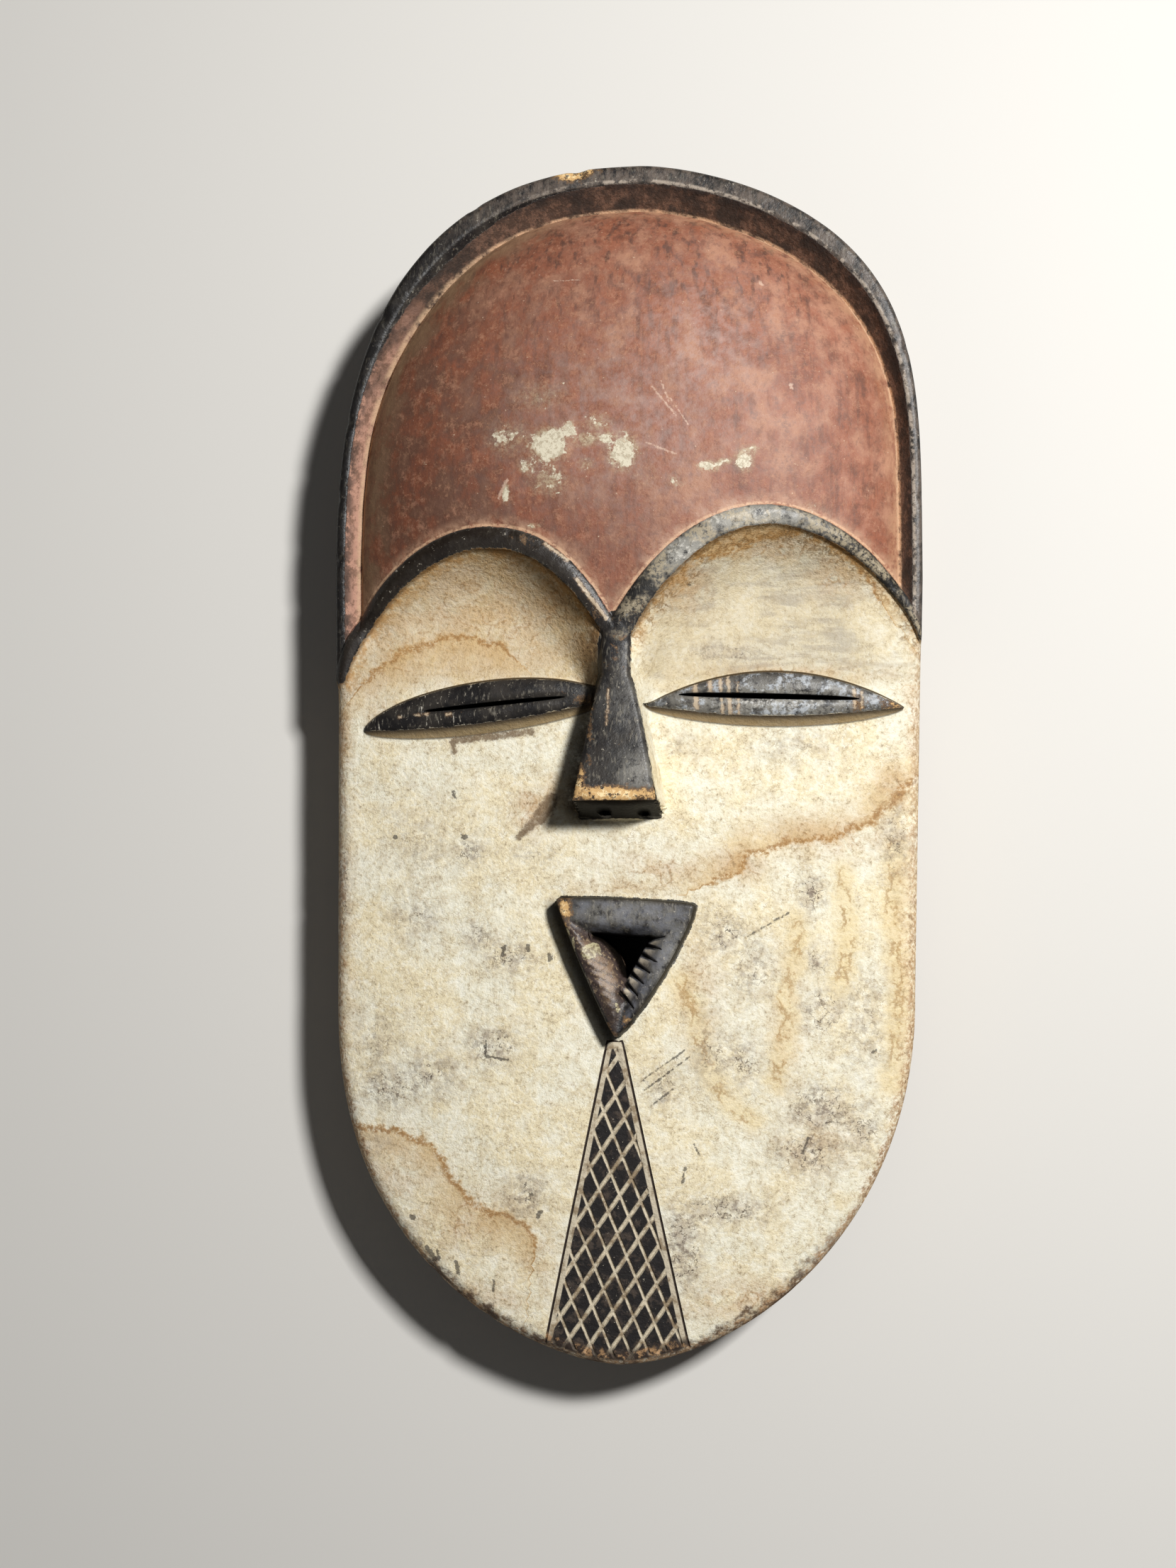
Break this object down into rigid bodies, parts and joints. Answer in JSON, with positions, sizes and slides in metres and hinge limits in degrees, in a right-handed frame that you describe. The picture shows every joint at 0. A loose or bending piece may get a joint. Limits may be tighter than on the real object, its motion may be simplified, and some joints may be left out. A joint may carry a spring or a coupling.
{
  "type": "carved wooden face mask",
  "caption": "Long carved wooden face mask with a domed forehead in a raised rim, brow bands, slit eyes, wedge nose, triangular pierced mouth and engraved chin panel, hollow behind.",
  "frame": {"origin": "middle of the back rim plane, at the centre of the bounding box seen from the front", "axes": "+X to the right across the face as it is looked at, +Y up to the crown, +Z out of the face; the mask lies on its flat back rim at Z = 0"},
  "size_m": [0.2028, 0.4098, 0.0685],
  "materials": {
    "painted_wood": "carved wood, kaolin white face, red ochre forehead and black edges, worn matt"
  },
  "bodies": {
    "root": {"mask": "painted_wood"}
  },
  "joints": []
}
